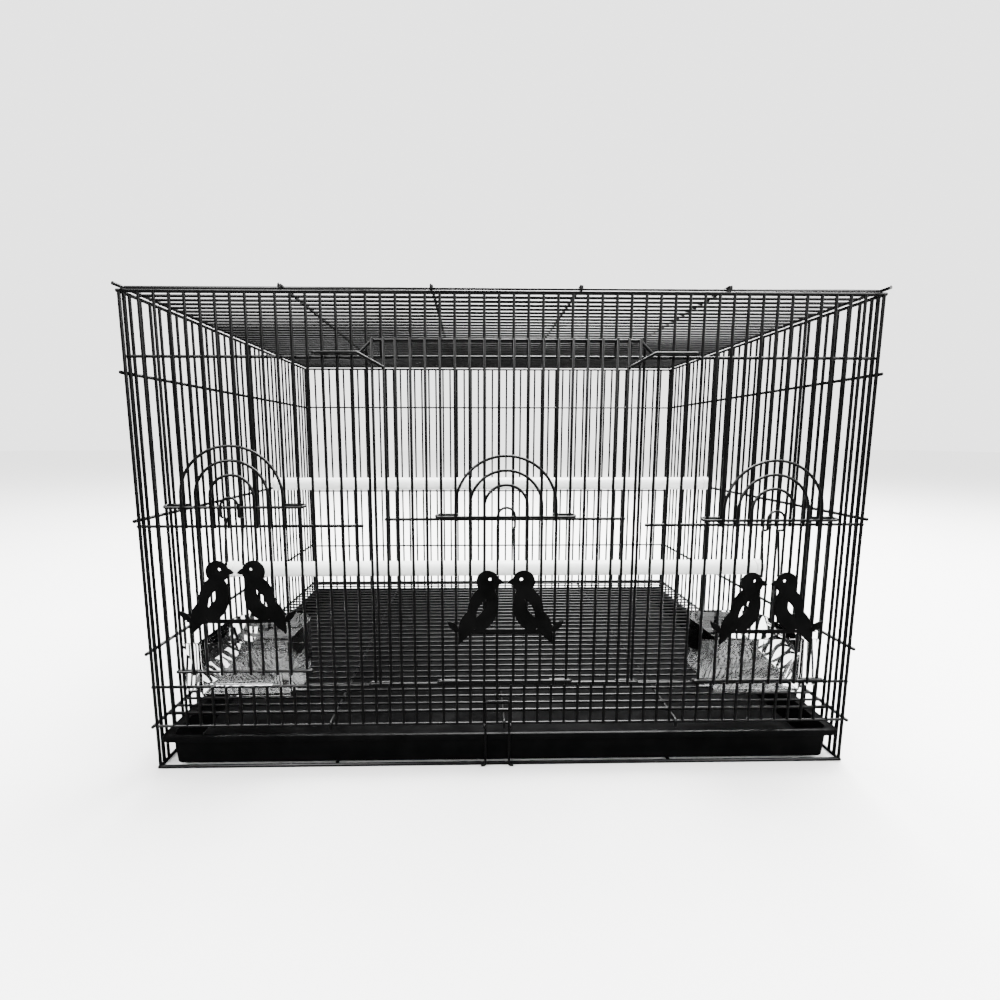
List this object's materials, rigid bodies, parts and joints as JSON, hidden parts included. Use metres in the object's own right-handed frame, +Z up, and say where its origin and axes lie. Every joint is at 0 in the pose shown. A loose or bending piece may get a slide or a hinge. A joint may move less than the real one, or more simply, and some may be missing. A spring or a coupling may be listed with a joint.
{
  "type": "bird cage",
  "caption": "Flat-topped wire bird cage with a lifting front door, feeder doors with cups, perches, a floor grate and a slide-out tray.",
  "frame": {"origin": "centre of the underside of the bounding box, level with the undersides of the base wires", "axes": "+X along the width, to the right as seen from the front; the front with the doors faces -Y; +Z up"},
  "size_m": [0.6208, 0.4278, 0.4139],
  "materials": {
    "black_wire": "satin black coating on steel wire",
    "black_sheet": "satin black coating on sheet steel",
    "black_plastic": "black moulded plastic, slightly glossy",
    "white_plastic": "white moulded plastic with a soft sheen",
    "clear_plastic": "clear moulded plastic"
  },
  "bodies": {
    "cage": {"front_panel": "black_wire", "back_panel": "black_wire", "left_side_panel": "black_wire", "right_side_panel": "black_wire", "roof_panel": "black_wire", "floor_grate": "black_wire", "left_base_runner": "black_wire", "right_base_runner": "black_wire", "upper_perch": "white_plastic", "upper_perch_left_end": "white_plastic", "upper_perch_right_end": "white_plastic", "lower_perch": "white_plastic", "lower_perch_left_end": "white_plastic", "lower_perch_right_end": "white_plastic"},
    "tray": {"slide_out_tray": "black_plastic"},
    "tray_clip": {"tray_clip": "black_wire"},
    "large_door": {"large_door": "black_wire"},
    "centre_door": {"centre_door": "black_wire", "centre_bird_plate": "black_sheet"},
    "centre_catch": {"centre_catch": "black_wire"},
    "left_feeder_door": {"left_feeder_door": "black_wire", "left_bird_plate": "black_sheet"},
    "left_catch": {"left_catch": "black_wire"},
    "right_feeder_door": {"right_feeder_door": "black_wire", "right_bird_plate": "black_sheet"},
    "right_catch": {"right_catch": "black_wire"},
    "left_cup": {"left_cup": "clear_plastic"},
    "right_cup": {"right_cup": "clear_plastic"}
  },
  "joints": [
    {"name": "tray_slide", "type": "slide", "parent": "cage", "child": "tray", "axis": [0, -1, 0], "range_m": [0, 0.38]},
    {"name": "tray_clip_hinge", "type": "hinge", "parent": "tray", "child": "tray_clip", "pos_m": [-0.006, -0.20225, 0.0015], "axis": [1, 0, 0], "range_deg": [0, 90]},
    {"name": "large_door_slide", "type": "slide", "parent": "cage", "child": "large_door", "axis": [0, 0, 1], "range_m": [0, 0.25]},
    {"name": "centre_door_slide", "type": "slide", "parent": "large_door", "child": "centre_door", "axis": [0, 0, 1], "range_m": [0, 0.12]},
    {"name": "left_feeder_door_slide", "type": "slide", "parent": "cage", "child": "left_feeder_door", "axis": [0, 0, 1], "range_m": [-0.012, 0.115]},
    {"name": "right_feeder_door_slide", "type": "slide", "parent": "cage", "child": "right_feeder_door", "axis": [0, 0, 1], "range_m": [0, 0.125]},
    {"name": "centre_catch_spring", "type": "hinge", "parent": "centre_door", "child": "centre_catch", "pos_m": [0, -0.21075, 0.17978], "axis": [1, 0, 0], "range_deg": [0, 20], "stiffness_Nm_per_rad": 0.1},
    {"name": "left_catch_spring", "type": "hinge", "parent": "left_feeder_door", "child": "left_catch", "pos_m": [-0.22536, -0.20535, 0.18778], "axis": [1, 0, 0], "range_deg": [0, 20], "stiffness_Nm_per_rad": 0.1},
    {"name": "right_catch_spring", "type": "hinge", "parent": "right_feeder_door", "child": "right_catch", "pos_m": [0.22536, -0.20535, 0.17548], "axis": [1, 0, 0], "range_deg": [0, 20], "stiffness_Nm_per_rad": 0.1},
    {"name": "left_cup_lift", "type": "slide", "parent": "cage", "child": "left_cup", "axis": [0, 0, 1], "range_m": [0, 0.02]},
    {"name": "right_cup_lift", "type": "slide", "parent": "cage", "child": "right_cup", "axis": [0, 0, 1], "range_m": [0, 0.02]}
  ]
}
